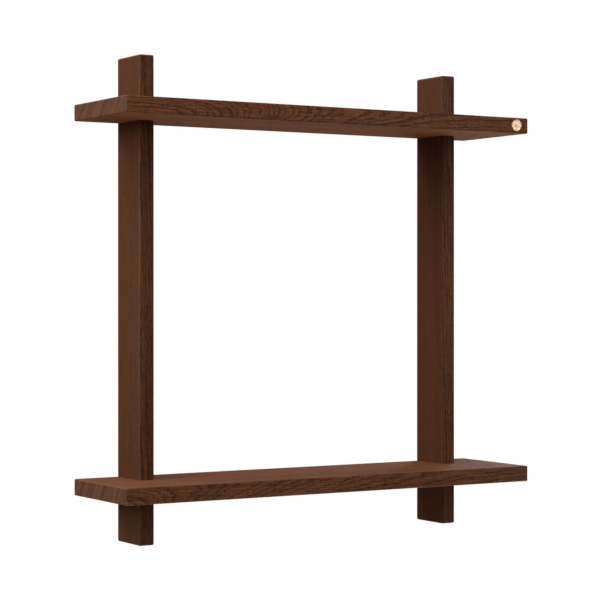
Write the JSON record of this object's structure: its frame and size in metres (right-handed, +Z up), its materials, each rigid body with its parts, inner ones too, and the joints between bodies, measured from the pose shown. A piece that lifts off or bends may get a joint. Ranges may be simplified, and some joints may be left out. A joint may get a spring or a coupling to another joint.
{
  "type": "wall rack",
  "caption": "Open wall rack: two notched hardwood boards cross-lapped into two uprights, hung on keyhole plates behind the uprights' tops.",
  "frame": {"origin": "on the wall plane, half-way between the entry holes of the two wall hangers", "axes": "+Z up, +Y into the wall, -Y into the room, +X to the right of someone who faces the rack"},
  "size_m": [0.64, 0.1575, 0.65],
  "materials": {
    "smoked_oak": "dark smoked, matt oiled",
    "brass": "satin",
    "zinc_steel": "zinc plated",
    "black_steel": "black oxide",
    "felt": "needled felt"
  },
  "bodies": {
    "root": {"brass_badge": "brass", "left_hanger_plate": "zinc_steel", "left_hanger_screw_lower": "zinc_steel", "left_hanger_screw_upper": "zinc_steel", "left_upright": "smoked_oak", "left_wall_pad": "felt", "lower_board": "smoked_oak", "lower_left_joint_screw": "black_steel", "lower_right_joint_screw": "black_steel", "right_hanger_plate": "zinc_steel", "right_hanger_screw_lower": "zinc_steel", "right_hanger_screw_upper": "zinc_steel", "right_upright": "smoked_oak", "right_wall_pad": "felt", "upper_board": "smoked_oak", "upper_left_joint_screw": "black_steel", "upper_right_joint_screw": "black_steel"}
  },
  "joints": []
}
